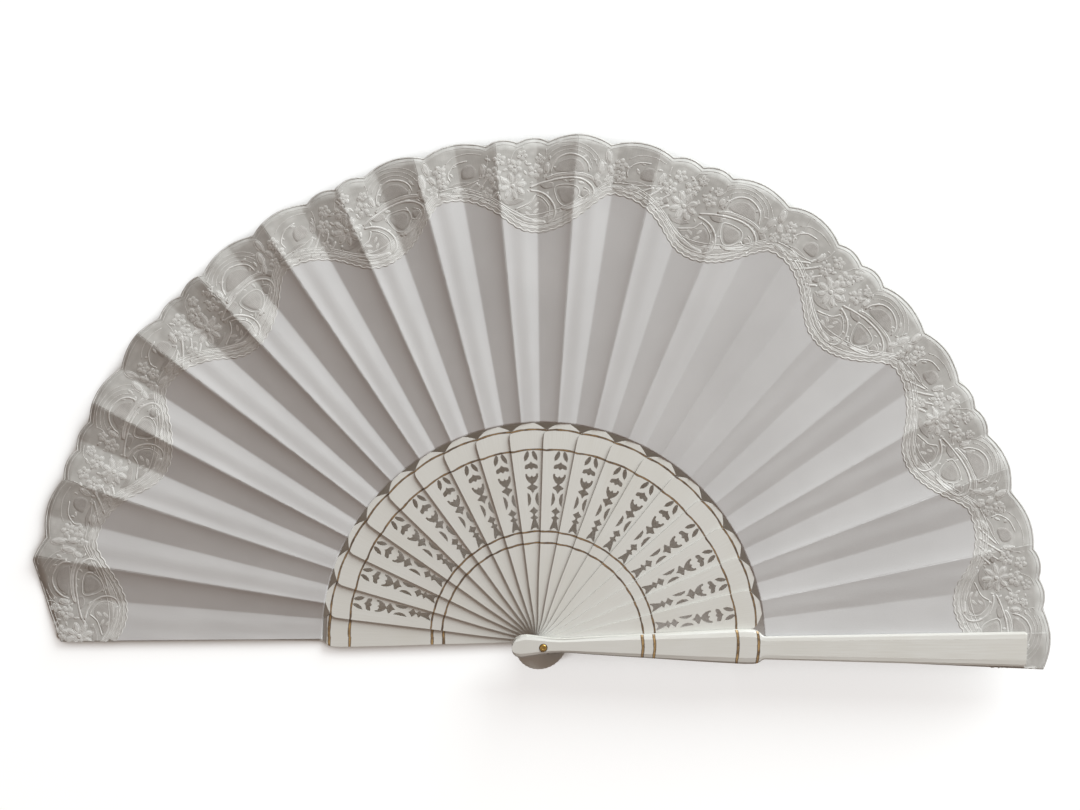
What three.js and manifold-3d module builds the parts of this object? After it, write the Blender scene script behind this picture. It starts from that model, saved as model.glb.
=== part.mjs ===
// Flamenco fan: two plain guards, eighteen pierced sticks, a pleated leaf with a
// scalloped lace edge, and one brass rivet.
//
// Frame: millimetres, +Z up. The open fan lies on its back. The rivet's axis is Z,
// z = 0 is the rear guard's back, the front guard points along +X, and the sticks
// spread counter-clockwise from it, each one layer further back than the last.
//
// Local frame of every stick, guard and panel: x is the distance from the rivet,
// y the sideways offset (positive is counter-clockwise). Each one is then turned
// about the rivet to its place.
import * as THREE from "three";
import { mergeVertices } from "three/addons/utils/BufferGeometryUtils.js";
import Module from "manifold-3d";

const wasm = await Module();
wasm.setup();

// Dimensions.
const STICKS = 18; // between the two guards
const PITCH_DEG = 9.33; // from each stick to the next in the open fan
const FRONT_GAP_DEG = 10.4; // from the last stick to the front guard
const OPEN_DEG = PITCH_DEG * STICKS + FRONT_GAP_DEG;
const LAYER = 1.2; // from each stick's mid-plane to the next one's
const STICK_THICK = 0.9;
const RIB_THICK = 0.4;
const RIB_ROOT_R = 132.7; // where the blade ends and its rib starts
const RIB_THIN_R = 134.5; // the rib has come down to its own thickness
const RIB_TIP_R = 290;
const RIB_TIP_ROUND = 0.6; // length of the rounding at a rib's tip
const FIRST_STICK_Z = 4.55; // mid-plane of stick 1, above the rear guard

const GUARD_THICK = 3.8;
const GUARD_STRIP_THICK = 1.6; // outer strip that the leaf's end is glued to
const GUARD_SHOULDER_R = 121; // the guard's body is widest here
const GUARD_SHOULDER_HALF = 10.4; // half its width there
const GUARD_STRIP_HALF = 10.65; // half the strip's width near its tip
const GUARD_STRIP_FROM_R = 129.6; // the guard thins to its strip between these two
const GUARD_STRIP_FULL_R = 132.6;
const GUARD_EDGE_DROP = 1.3; // how far the rounded outer face falls at its edges
const STRIP_EDGE_DROP = 0.6;
const FRONT_GUARD_Z = 25.7; // inner face of the front guard
const GUARD_TIP_R = 292;
const GUARD_TIP_ROUND = 1.2; // length of the rounding at a guard's tip

const CLOTH = 0.2; // fabric thickness
const CLOTH_LIFT = 0.6; // fabric mid-plane above its rib's mid-plane
const REAR_CLOTH_Z = 2.0; // fabric on the rear guard's strip
const FRONT_CLOTH_Z = 27.5; // fabric under the front guard's strip
const LEAF_INNER_R = 132.9;
const LEAF_MIDDLE_R = 215;
const GLUED_HALF_DEG = 2.4; // half of a glued panel
const FOLD_GAP = 0.15; // each panel stops this far from the fold line
const LACE_MID_R = 297.4; // lace edge: cusps here, scallops reach further out
const SCALLOP_DEPTH = 4.4;
const SMALL_SCALLOP_DEPTH = 2.6;
const FESTOON_DEG = 21.4; // two wide and two small scallops to a festoon
const FESTOON_AT_DEG = 83; // cusp between two wide scallops nearest the fan's axis
const TURNED_AT_DEG = 171.4; // the lace's rear end is turned under from here on
const TURNED_FALL = 2.05; // and comes in by this much with each degree

const PLEAT_SLOPE = 0.3; // sideways slope of a glued panel, rising counter-clockwise
const PLEAT_FLAT_HALF = 3.4; // up to here from its middle the panel lies flat on its rib

const PIN_R = 1.5;
const PIN_HOLE_R = 1.8;
const HEAD_R = 2.25;
const HEAD_THICK = 0.8;
const HEAD_RIM = 0.1; // the domed head's round starts this far below the guard's face
const HEAD_HOLE_R = 2.55;
const HEAD_HOLE_DEPTH = 1.1;

// Materials.
const lacquer = new THREE.MeshStandardMaterial({ color: 0xf2efe6, roughness: 0.38, metalness: 0 });
const cloth = new THREE.MeshStandardMaterial({ color: 0xeeece8, roughness: 0.85, metalness: 0 });
const brass = new THREE.MeshStandardMaterial({ color: 0xb58a3c, roughness: 0.3, metalness: 1 });

// Helpers.
const rad = THREE.MathUtils.degToRad;
const smooth = THREE.MathUtils.smoothstep;

// Index 0 is the rear guard and 19 the front guard.
function angleOf(index) {
  return index > STICKS ? 0 : OPEN_DEG - PITCH_DEG * index;
}

// Share of the full slope in layer `index`: whole in the middle, none at the guards.
function slopeShare(index) {
  const rear = [0, 0.65, 0.9];
  const front = [0, 0.35, 0.55, 0.78];
  return Math.min(rear[index] ?? 1, front[STICKS + 1 - index] ?? 1);
}

// Rise of a glued panel above its middle, s mm sideways of it.
function pleatRise(index, s) {
  const beyond = Math.max(0, Math.abs(s) - PLEAT_FLAT_HALF);
  return slopeShare(index) * PLEAT_SLOPE * Math.sign(s) * beyond;
}

function stickZ(index) {
  return FIRST_STICK_Z + LAYER * (index - 1);
}

function clothZ(index) {
  if (index === 0) return REAR_CLOTH_Z;
  if (index === STICKS + 1) return FRONT_CLOTH_Z;
  return stickZ(index) + CLOTH_LIFT;
}

// How far the hand-sewn lace strays from its circle, [degrees, mm].
const LACE_SWAY = [
  [-3, 5.5], [4, 5.5], [11, 4], [18, -1.5], [28, -2.5], [42, -3.5], [51, -2], [60, 1.5],
  [86, 2.2], [99, -0.6], [120, -1.4], [135, 0], [150, 1.6], [160, 3], [168, 5], [172, 7],
];

function swayAt(deg) {
  const k = LACE_SWAY.findIndex(([at]) => at > deg);
  if (k < 0) return LACE_SWAY[LACE_SWAY.length - 1][1];
  if (k === 0) return LACE_SWAY[0][1];
  const [[d0, v0], [d1, v1]] = [LACE_SWAY[k - 1], LACE_SWAY[k]];
  return THREE.MathUtils.lerp(v0, v1, (deg - d0) / (d1 - d0));
}

function scallopR(deg) {
  const along = (FESTOON_AT_DEG - deg) / FESTOON_DEG;
  const thirds = 3 * (along - Math.floor(along));
  const small = thirds >= 1 && thirds < 2;
  const depth = small ? SMALL_SCALLOP_DEPTH : SCALLOP_DEPTH;
  const scallop = Math.abs(Math.sin(Math.PI * thirds * (small ? 2 : 1)));
  return LACE_MID_R + swayAt(deg) + depth * Math.pow(scallop, 0.8);
}

function laceEdgeR(deg) {
  const turned = Math.max(0, deg - TURNED_AT_DEG);
  return scallopR(deg - turned) - TURNED_FALL * turned;
}

function geometryFrom(points, faces) {
  const g = new THREE.BufferGeometry();
  g.setAttribute("position", new THREE.Float32BufferAttribute(points.flat(), 3));
  g.setIndex(faces.flat());
  g.computeVertexNormals();
  return g;
}

// A thin solid over flat triangles. flat: [x, y] points; triangles: counter-clockwise
// seen from +Z; loops: outlines, outer one counter-clockwise and holes clockwise;
// top and bottom give the height of each face at a point.
function slab(flat, triangles, loops, top, bottom) {
  const n = flat.length;
  const points = [
    ...flat.map(([x, y]) => [x, y, top(x, y)]),
    ...flat.map(([x, y]) => [x, y, bottom(x, y)]),
  ];
  const faces = [];
  for (const [a, b, c] of triangles) faces.push([a, b, c], [a + n, c + n, b + n]);
  for (const loop of loops) {
    loop.forEach((a, k) => {
      const b = loop[(k + 1) % loop.length];
      faces.push([a, a + n, b + n], [a, b + n, b]);
    });
  }
  return geometryFrom(points, faces);
}

// A thin solid over a grid of [x, y, z] mid-surface points, rows by columns, with the
// columns running counter-clockwise from the rows seen from +Z.
function sheet(grid, thick) {
  const rows = grid.length;
  const cols = grid[0].length;
  const n = rows * cols;
  const mid = grid.flat();
  const points = [
    ...mid.map(([x, y, z]) => [x, y, z + thick / 2]),
    ...mid.map(([x, y, z]) => [x, y, z - thick / 2]),
  ];
  const at = (i, j) => i * cols + j;
  const faces = [];
  for (let i = 0; i + 1 < rows; i++) {
    for (let j = 0; j + 1 < cols; j++) {
      const [a, b, c, d] = [at(i, j), at(i + 1, j), at(i + 1, j + 1), at(i, j + 1)];
      faces.push([a, b, c], [a, c, d], [a + n, c + n, b + n], [a + n, d + n, c + n]);
    }
  }
  const rim = [];
  for (let i = 0; i < rows; i++) rim.push(at(i, 0));
  for (let j = 1; j < cols; j++) rim.push(at(rows - 1, j));
  for (let i = rows - 2; i >= 0; i--) rim.push(at(i, cols - 1));
  for (let j = cols - 2; j > 0; j--) rim.push(at(0, j));
  rim.forEach((a, k) => {
    const b = rim[(k + 1) % rim.length];
    faces.push([a, a + n, b + n], [a, b + n, b]);
  });
  return geometryFrom(points, faces);
}

function toManifold(geometry) {
  const g = geometry.clone();
  g.deleteAttribute("normal");
  g.deleteAttribute("uv");
  const merged = mergeVertices(g, 1e-4);
  return new wasm.Manifold(
    new wasm.Mesh({
      numProp: 3,
      vertProperties: new Float32Array(merged.attributes.position.array),
      triVerts: new Uint32Array(merged.index.array),
    }),
  );
}

function fromManifold(solid) {
  const mesh = solid.getMesh();
  const g = new THREE.BufferGeometry();
  g.setAttribute("position", new THREE.Float32BufferAttribute(mesh.vertProperties, 3));
  g.setIndex(Array.from(mesh.triVerts));
  g.computeVertexNormals();
  return g;
}

function upright(radius, from, to, segments) {
  const g = new THREE.CylinderGeometry(radius, radius, to - from, segments);
  g.rotateX(Math.PI / 2);
  g.translate(0, 0, (from + to) / 2);
  return g;
}

const fan = new THREE.Group();
fan.name = "flamenco_fan";

function addTurned(name, geometry, material, deg) {
  const mesh = new THREE.Mesh(geometry, material);
  mesh.name = name;
  mesh.rotation.z = rad(deg);
  fan.add(mesh);
}

const two = (n) => String(n).padStart(2, "0");

const THROUGH = 1; // cutters reach this far past the faces they cut

// Guards.
// Three stretches of a guard's outline: [share of the stretch, counter-clockwise edge,
// clockwise edge], the edges as shares of the half width given with the stretch.
// From the rivet to the shoulder, with the round head behind the rivet.
const GUARD_BODY = [
  [-0.154, 0.12, -0.18], [-0.148, 0.32, -0.37], [-0.135, 0.52, -0.52], [-0.112, 0.66, -0.59],
  [-0.083, 0.71, -0.56], [-0.05, 0.67, -0.49], [-0.008, 0.6, -0.4], [0.041, 0.52, -0.33],
  [0.091, 0.49, -0.3], [0.14, 0.51, -0.32], [0.248, 0.61, -0.41], [0.372, 0.69, -0.5],
  [0.545, 0.79, -0.62], [0.744, 0.92, -0.77], [0.909, 1.03, -0.88], [1, 1.07, -0.93],
];
// From the shoulder down to the strip.
const GUARD_ROUNDING = [
  [0.43, 1.05, -0.93], [0.64, 0.98, -0.89], [0.78, 0.87, -0.82], [0.88, 0.76, -0.71],
  [1, 0.69, -0.64],
];
// Along the strip, its last millimetre apart.
const GUARD_STRIP = [[0.517, 0.84, -0.82], [1, 1, -1]];
const STRIP_TIP_SHARE = 0.92; // width left at the very tip

function stretch(rows, from, to, half) {
  return rows.map(([share, left, right]) => {
    return [THREE.MathUtils.lerp(from, to, share), left * half, right * half];
  });
}

// [distance from the rivet, counter-clockwise edge, clockwise edge], head to tip.
const TIP_HALF = GUARD_STRIP_HALF * STRIP_TIP_SHARE;
const GUARD_PROFILE = [
  ...stretch(GUARD_BODY, 0, GUARD_SHOULDER_R, GUARD_SHOULDER_HALF),
  ...stretch(GUARD_ROUNDING, GUARD_SHOULDER_R, GUARD_STRIP_FULL_R, GUARD_SHOULDER_HALF),
  ...stretch(GUARD_STRIP, GUARD_STRIP_FULL_R, GUARD_TIP_R - GUARD_TIP_ROUND, GUARD_STRIP_HALF),
  [GUARD_TIP_R, TIP_HALF, -TIP_HALF],
];
// Across the guard: [share of the half width, share of the edge's drop].
const GUARD_SECTION = [
  [-1, 1], [-0.88, 0.35], [-0.62, 0], [0.62, 0], [0.88, 0.35], [1, 1],
];

// A guard with its flat inner face at z = 0 and its softly rounded outer face above.
function guardSolid() {
  const cols = GUARD_SECTION.length;
  const flat = [];
  const outer = [];
  const inner = [];
  for (const [r, left, right] of GUARD_PROFILE) {
    const strip = smooth(r, GUARD_STRIP_FROM_R, GUARD_STRIP_FULL_R);
    const thick = THREE.MathUtils.lerp(GUARD_THICK, GUARD_STRIP_THICK, strip);
    const drop = THREE.MathUtils.lerp(GUARD_EDGE_DROP, STRIP_EDGE_DROP, strip);
    for (const [across, share] of GUARD_SECTION) {
      flat.push([r, (left + right) / 2 + (across * (left - right)) / 2]);
      outer.push(GUARD_THICK - drop * share);
      inner.push(GUARD_THICK - thick);
    }
  }
  const n = flat.length;
  const points = [
    ...flat.map(([x, y], k) => [x, y, outer[k]]),
    ...flat.map(([x, y], k) => [x, y, inner[k]]),
  ];
  const at = (i, j) => i * cols + j;
  const faces = [];
  const rows = GUARD_PROFILE.length;
  for (let i = 0; i + 1 < rows; i++) {
    for (let j = 0; j + 1 < cols; j++) {
      const [a, b, c, d] = [at(i, j), at(i + 1, j), at(i + 1, j + 1), at(i, j + 1)];
      faces.push([a, b, c], [a, c, d], [a + n, c + n, b + n], [a + n, d + n, c + n]);
    }
  }
  const rim = [];
  for (let i = 0; i < rows; i++) rim.push(at(i, 0));
  for (let j = 1; j < cols; j++) rim.push(at(rows - 1, j));
  for (let i = rows - 2; i >= 0; i--) rim.push(at(i, cols - 1));
  for (let j = cols - 2; j > 0; j--) rim.push(at(0, j));
  rim.forEach((a, k) => {
    const b = rim[(k + 1) % rim.length];
    faces.push([a, a + n, b + n], [a, b + n, b]);
  });
  return toManifold(geometryFrom(points, faces))
    .subtract(toManifold(upright(PIN_HOLE_R, -THROUGH, GUARD_THICK + THROUGH, 24)))
    .subtract(
      toManifold(upright(HEAD_HOLE_R, GUARD_THICK - HEAD_HOLE_DEPTH, GUARD_THICK + THROUGH, 24)),
    );
}

const frontGuard = fromManifold(guardSolid());
frontGuard.translate(0, 0, FRONT_GUARD_Z);
addTurned("front_guard", frontGuard, lacquer, 0);

const rearGuard = fromManifold(guardSolid());
rearGuard.rotateX(Math.PI);
rearGuard.translate(0, 0, GUARD_THICK);
addTurned("rear_guard", rearGuard, lacquer, OPEN_DEG);

// Sticks.
// [distance from the rivet, half width] of a blade, head to shoulder.
const BLADE_PROFILE = [
  [-16.4, 1.7], [-15.4, 3.7], [-13.4, 5.1], [-10.4, 5.8], [-6, 5.3], [0, 4.3],
  [8, 3.7], [14, 3.7], [22, 4.5], [37, 5.8], [57, 7.0], [100, 10.15],
  [120, 11.6], [124.5, 11.8], [126.3, 11.5], [127.6, 10.8], [128.6, 9.8],
  [129.7, 8.4], [130.7, 7.0], [131.6, 5.5], [132.3, 4.3], [RIB_ROOT_R, 3.4],
];
// [distance from the rivet, half width] of a rib beyond the blade.
const RIB_PROFILE = [[RIB_THIN_R, 3.5], [RIB_TIP_R - RIB_TIP_ROUND, 3.4], [RIB_TIP_R, 2.9]];

// Pierced openings of one stick, [sideways, distance] on the counter-clockwise half.
const LEAF_HOLE = [
  [1.5, 116.3], [2.4, 115.9], [3.5, 114.1], [4.1, 112.2], [3.8, 109.9],
  [2.1, 111.1], [1.05, 113.1], [0.8, 115.1],
];
const MOON_HOLE = [[3.2, 91.2], [3.3, 87], [3.15, 82.8], [1.7, 84.6], [1.1, 87.4], [1.9, 90.2]];
const CROWN_HALF = [
  [0, 109.8], [0.9, 108.8], [3.4, 107.8], [3.9, 106.9], [3.9, 105.5], [2.8, 105.2],
  [1.3, 105.9], [0, 104.8],
];
const TULIP_HALF = [
  [0, 101.5], [0.9, 100.4], [2.3, 101.0], [2.8, 102.5], [3.8, 102.4], [3.8, 101.0],
  [3.3, 99.2], [2.1, 97.4], [0.75, 96.3], [0.75, 95.9], [1.7, 95.3], [3.3, 94.4],
  [2.8, 93.4], [1.2, 92.4], [0, 90.5],
];
const BELL_HALF = [
  [0, 82.6], [0.9, 81.4], [2.7, 79.9], [1.5, 78.8], [0.6, 78.1], [0.6, 77.2], [2.4, 75.9],
  [1.0, 74.7], [1.7, 72.3], [2.3, 70.5], [2.7, 68.5], [1.9, 68.5], [1.0, 69.4],
  [0, 69.8],
];

function mirrored(half) {
  const other = half.slice(1, -1).reverse().map(([s, r]) => [-s, r]);
  return [...half, ...other];
}

function roundHole(radius, segments) {
  return Array.from({ length: segments }, (_, k) => {
    const t = (2 * Math.PI * k) / segments;
    return [radius * Math.sin(t), radius * Math.cos(t)];
  });
}

const STICK_HOLES = [
  LEAF_HOLE, LEAF_HOLE.map(([s, r]) => [-s, r]),
  MOON_HOLE, MOON_HOLE.map(([s, r]) => [-s, r]),
  mirrored(CROWN_HALF), mirrored(TULIP_HALF), mirrored(BELL_HALF),
  roundHole(PIN_HOLE_R, 16),
].map((hole) => hole.map(([s, r]) => new THREE.Vector2(r, s)));

function stickGeometry(index) {
  const right = BLADE_PROFILE.map(([r, half]) => new THREE.Vector2(r, -half));
  const left = BLADE_PROFILE.map(([r, half]) => new THREE.Vector2(r, half)).reverse();
  const outline = [...right, ...left];
  if (THREE.ShapeUtils.isClockWise(outline)) outline.reverse();
  const holes = STICK_HOLES.map((h) => (THREE.ShapeUtils.isClockWise(h) ? h : [...h].reverse()));
  const flat = [outline, ...holes].flat().map((p) => [p.x, p.y]);
  const triangles = THREE.ShapeUtils.triangulateShape(outline, holes);

  const find = (y) => flat.findIndex((p) => p[0] === RIB_ROOT_R && p[1] === y);
  const rootHalf = BLADE_PROFILE[BLADE_PROFILE.length - 1][1];
  let [lo, hi] = [find(-rootHalf), find(rootHalf)];
  const ribRight = [];
  const ribLeft = [];
  for (const [r, half] of RIB_PROFILE) {
    flat.push([r, -half], [r, half]);
    const [nextLo, nextHi] = [flat.length - 2, flat.length - 1];
    triangles.push([lo, nextLo, nextHi], [lo, nextHi, hi]);
    ribRight.push(nextLo);
    ribLeft.unshift(nextHi);
    [lo, hi] = [nextLo, nextHi];
  }
  const outer = outline.map((_, k) => k);
  outer.splice(outer.indexOf(find(-rootHalf)) + 1, 0, ...ribRight, ...ribLeft);
  const loops = [outer];
  let start = outline.length;
  for (const hole of holes) {
    loops.push(hole.map((_, k) => start + k));
    start += hole.length;
  }

  const mid = stickZ(index);
  const half = (x) => THREE.MathUtils.lerp(STICK_THICK, RIB_THICK, smooth(x, RIB_ROOT_R, RIB_THIN_R)) / 2;
  return slab(flat, triangles, loops, (x) => mid + half(x), (x) => mid - half(x));
}

for (let i = 1; i <= STICKS; i++) {
  addTurned(`stick_${two(i)}`, stickGeometry(i), lacquer, angleOf(i));
}

// Leaf with its lace edge.
// A panel's grid of [x, y, z] points, in three rows from the leaf's inner edge to the
// lace's scallops. shares(r): where the columns lie between the panel's two sides;
// height(r, deg, y): the cloth's height.
function panelGrid(index, fromDeg, toDeg, shares, height) {
  const edge = (share) => laceEdgeR(angleOf(index) + THREE.MathUtils.lerp(fromDeg, toDeg, share));
  return [() => LEAF_INNER_R, () => LEAF_MIDDLE_R, edge].map((rowR) =>
    shares(rowR(0.5)).map((share) => {
      const r = rowR(share);
      const clear = THREE.MathUtils.radToDeg(FOLD_GAP / r);
      const deg = THREE.MathUtils.lerp(fromDeg + clear, toDeg - clear, share);
      const [x, y] = [r * Math.cos(rad(deg)), r * Math.sin(rad(deg))];
      return [x, y, height(r, deg, y)];
    }),
  );
}

// Height of a glued panel's fold edge: side +1 is its counter-clockwise ridge and
// -1 its clockwise valley.
function edgeZ(index, r, side) {
  return clothZ(index) + pleatRise(index, side * r * Math.sin(rad(GLUED_HALF_DEG)));
}

for (let i = 0; i <= STICKS + 1; i++) {
  const shares = (r) => {
    const flat = PLEAT_FLAT_HALF / (2 * r * Math.sin(rad(GLUED_HALF_DEG)));
    return [0, 0.5 - flat, 0.5, 0.5 + flat, 1];
  };
  const height = (r, deg, y) => clothZ(i) + pleatRise(i, y);
  const grid = panelGrid(i, -GLUED_HALF_DEG, GLUED_HALF_DEG, shares, height);
  addTurned(`leaf_pleat_${two(i)}`, sheet(grid, CLOTH), cloth, angleOf(i));
}

for (let i = 0; i <= STICKS; i++) {
  const from = angleOf(i + 1) - angleOf(i) + GLUED_HALF_DEG; // ridge of the next glued panel
  const to = -GLUED_HALF_DEG; // valley of this one
  const grid = panelGrid(i, from, to, () => [0, 0.25, 0.5, 0.75, 1], (r, deg) => {
    const t = (to - deg) / (to - from);
    return THREE.MathUtils.lerp(edgeZ(i, r, -1), edgeZ(i + 1, r, 1), t);
  });
  addTurned(`leaf_fold_${two(i)}`, sheet(grid, CLOTH), cloth, angleOf(i));
}

// Rivet.
const RIVET_TOP = FRONT_GUARD_Z + GUARD_THICK;
const rivetProfile = [
  [0, 0], [HEAD_R, 0], [HEAD_R, HEAD_THICK], [PIN_R, HEAD_THICK],
  [PIN_R, RIVET_TOP - HEAD_THICK], [HEAD_R, RIVET_TOP - HEAD_THICK],
  [HEAD_R, RIVET_TOP - HEAD_RIM], [HEAD_R * 0.85, RIVET_TOP + HEAD_THICK * 0.38],
  [HEAD_R * 0.5, RIVET_TOP + HEAD_THICK * 0.8], [0, RIVET_TOP + HEAD_THICK],
].map(([x, y]) => new THREE.Vector2(x, y));
const rivet = new THREE.LatheGeometry(rivetProfile, 24);
rivet.rotateX(Math.PI / 2);
addTurned("rivet", rivet, brass, 0);

export default fan;
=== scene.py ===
"""Looks of the flamenco fan: lacquered sticks with painted rings, pleated cotton leaf, embroidered edge."""
import bpy, math
import numpy as np
from mathutils import Matrix, Vector


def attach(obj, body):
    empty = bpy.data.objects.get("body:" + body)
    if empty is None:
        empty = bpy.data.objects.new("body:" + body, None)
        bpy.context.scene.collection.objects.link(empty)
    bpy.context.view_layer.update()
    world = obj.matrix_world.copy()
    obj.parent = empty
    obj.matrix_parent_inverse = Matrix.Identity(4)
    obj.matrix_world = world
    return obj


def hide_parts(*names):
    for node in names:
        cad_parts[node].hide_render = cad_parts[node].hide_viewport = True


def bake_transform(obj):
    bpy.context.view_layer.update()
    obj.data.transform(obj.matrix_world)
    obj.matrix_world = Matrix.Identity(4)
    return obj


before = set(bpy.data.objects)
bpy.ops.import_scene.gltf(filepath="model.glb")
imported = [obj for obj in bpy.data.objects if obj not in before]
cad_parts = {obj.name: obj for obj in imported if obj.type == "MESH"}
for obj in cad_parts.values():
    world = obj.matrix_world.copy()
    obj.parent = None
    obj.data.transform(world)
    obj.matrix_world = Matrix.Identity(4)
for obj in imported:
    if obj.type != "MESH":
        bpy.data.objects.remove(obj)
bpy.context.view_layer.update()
scene = bpy.context.scene

# Sizes shared with the CAD part, in mm and degrees. Angles run counter-clockwise from +X.
STICKS, PITCH, FRONT_GAP, LAYER = 18, 9.33, 10.4, 1.2
LAST = STICKS + 1
# Direction of each rib, from the rear guard to the front guard
ANGLE = np.array([FRONT_GAP + PITCH * (STICKS - k) for k in range(LAST)] + [0.0])
GAP = np.append(ANGLE[:-1] - ANGLE[1:], PITCH)
CLOTH_Z = np.array([2.5] + [5.15 + LAYER * k for k in range(STICKS)] + [27.5])
CLOTH = .2                      # thickness of the cloth
LEAF_IN = 132.9                 # radius at which the leaf starts

# How a glued panel lies on its rib
GLUED_CCW, GLUED_CW = 1.9, 2.9  # how far it reaches to either side of its rib, in degrees
STRIP_HALF = 2.4                # on the guards the cloth ends with their strips
RIDGE = ANGLE + GLUED_CCW       # its counter-clockwise edge
RIDGE[0] = ANGLE[0] + STRIP_HALF
END = ANGLE[LAST] - STRIP_HALF
FLAT = 3.4                      # half width over which it lies almost flat
LIE, STEEP = .19, .52           # its slope there, and what it gains beyond, as shares of the pleat's own
BEND = .5                       # how soft the bend between the two is
AT_RIB = math.hypot(FLAT, .7) - FLAT    # about what that bend adds on the rib itself
SLOPE = .36 * np.array([.42, .65, .9] + [1] * 8 + [.97, .92, .85, .77, .68, .58, .45, .3, 0])

# The free panels, and the ends of the lace
FOOT = .76                      # how much of its rise a free panel takes evenly, the rest near the ridge
SLACK, SLACK_R = .45, (264, 298)    # how much softer the pleats get over the lace, and where
REAR_CURL = 1.9                 # how far the lace's rear end, turned under, curls down
CURL_DEG, CURL_R = (170.5, 174), (287, 305)     # where that curl sets in

# The lace
MID_R = 280.0                   # radius at which its patterns are drawn to size
FESTOON = 21.4                  # one repeat, in degrees
U_AT, EDGE_AT = 92.6, 83.0      # where a festoon hangs lowest, and where two wide scallops meet
LACE_R = 297.4                  # outer edge between its scallops
WIDE_BULGE, SMALL_BULGE = 4.4, 2.6  # how far its scallops reach out
TURNED_AT, TURNED_FALL = 171.4, 2.05    # where its rear end turns under, and its fall per degree
SEAM_SWAY, LACE_SWAY = .8, .82  # shares of the sway below that its seam and its patterns follow
SWAY_AT = (-3, 4, 11, 18, 28, 42, 51, 60, 86, 99, 120, 135, 150, 160, 168, 172)
SWAY = (5.5, 5.5, 4, -1.5, -2.5, -3.5, -2, 1.5, 2.2, -.6, -1.4, 0, 1.6, 3, 5, 7)
REPEATS = range(-5, 6)          # more than the leaf holds: what lies beyond its ends is cut off
CLEAR_DEG, CLEAR_R = .05, .1    # how far its threads stay inside the leaf's ends and outer edge
SEEDS = 130                     # scattered stitches tried in each repeat

# Painted lines of the sticks and guards: radius on the middle, and how far each drops 4 degrees from it
RINGS = ((128.95, .45), (117.0, .4), (67.6, .15), (60.7, .15))
GUARD_RINGS = ((128.9, .4), (116.6, .4), (66.5, .2), (59.5, .2))

BODIES = ["rear"] + [f"s{k:02d}" for k in range(1, LAST)] + ["front"]


def smooth(x, a, b):
    """0 up to a, 1 from b on, eased between them."""
    t = np.clip((x - a) / (b - a), 0, 1)
    return t * t * (3 - 2 * t)


# The pleated surface
EASE = .12                      # angle over which its folds are eased
RIPPLE, RIPPLE_R = .07, (140, 170)  # height of its small ripples, and where they begin
STEP_DEG, STEP_R = .04, .4      # steps at which its slope is measured


def panel_of(th):
    """Number of the gore that an angle lies in."""
    return np.clip(np.searchsorted(-RIDGE, -np.asarray(th, float), side="right") - 1, 0, LAST)


def glued_rise(i, s):
    """Height of a glued panel over its middle: almost flat on the rib, steeper beyond, with eased bends."""
    a = np.abs(s) - FLAT
    steep = (np.sqrt(a * a + BEND) + a - AT_RIB) / 2
    return SLOPE[i] * np.sign(s) * (LIE * np.abs(s) + STEEP * steep)


def fold_z(th, r):
    """Height of the cloth: a glued panel steps down clockwise, and a free one climbs to the next ridge."""
    i = panel_of(th)
    j = np.minimum(i + 1, LAST)
    phi = th - ANGLE[i]
    glued = CLOTH_Z[i] + glued_rise(i, r * np.sin(np.radians(phi)))
    low = CLOTH_Z[i] + glued_rise(i, -r * math.sin(math.radians(GLUED_CW)))
    high = CLOTH_Z[j] + glued_rise(j, r * math.sin(math.radians(GLUED_CCW)))
    t = np.clip((-GLUED_CW - phi) / (GAP[i] - GLUED_CCW - GLUED_CW), 0, 1)
    free = low + (high - low) * (FOOT * t + (1 - FOOT) * t ** 5)
    folded = np.where(phi >= -GLUED_CW, glued, free)
    flat = np.interp(-th, -ANGLE, CLOTH_Z)
    curl = REAR_CURL * smooth(th, *CURL_DEG) * smooth(r, *CURL_R)
    return folded + SLACK * smooth(r, *SLACK_R) * (flat - folded) - curl


def ripple(th, r):
    """Small slackness of the cloth between its folds."""
    a = np.sin(th * 1.9 + r * .051) * np.sin(r * .083 + th * .7) + .6 * np.sin(r * .19 - th * 2.3 + 1.7)
    return RIPPLE * a * smooth(r, *RIPPLE_R)


def cloth_z(th, r):
    """Height of the cloth with its folds eased over a small angle."""
    return (fold_z(th - EASE, r) + 2 * fold_z(th, r) + fold_z(th + EASE, r)) / 4 + ripple(th, r)


def place(th, r, h):
    """Points in metres, h mm proud of the pleated surface."""
    th, r = np.asarray(th, float), np.asarray(r, float)
    z = cloth_z(th, r)
    a = np.radians(th)
    dth = (cloth_z(th + STEP_DEG, r) - cloth_z(th - STEP_DEG, r)) / (r * math.radians(2 * STEP_DEG))
    dr = (cloth_z(th, r + STEP_R) - cloth_z(th, r - STEP_R)) / (2 * STEP_R)
    c, s = np.cos(a), np.sin(a)
    n = np.stack([-dr * c + dth * s, -dr * s - dth * c, np.ones_like(z)], -1)
    n /= np.linalg.norm(n, axis=-1, keepdims=True)
    return (np.stack([r * c, r * s, z], -1) + n * np.asarray(h)[..., None]) / 1000


def sway(th):
    """How far the hand-sewn lace strays from its circle."""
    return np.interp(th, SWAY_AT, SWAY)


def hang(x):
    """Inner edge of one repeat, x degrees to the right of its lowest place: deep and slightly lopsided."""
    at = (-10.7, -9, -8, -7, -6, -5, -4, -3, -2, -1, 0, 1, 2, 3, 4, 5, 6, 7, 8, 9, 9.8, 10.7)
    up = (270, 269.4, 268.3, 266.5, 264, 261.2, 257.6, 253.4, 249.6, 247, 245.6,
          245, 245.2, 246.2, 247.8, 250, 253, 256.7, 261.2, 265.8, 268.8, 270)
    return np.interp(x, at, up)


def u_edge(th):
    """Inner edge of the lace, where the cotton ends."""
    return hang((U_AT - th + FESTOON / 2) % FESTOON - FESTOON / 2) + SEAM_SWAY * sway(th)


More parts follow.
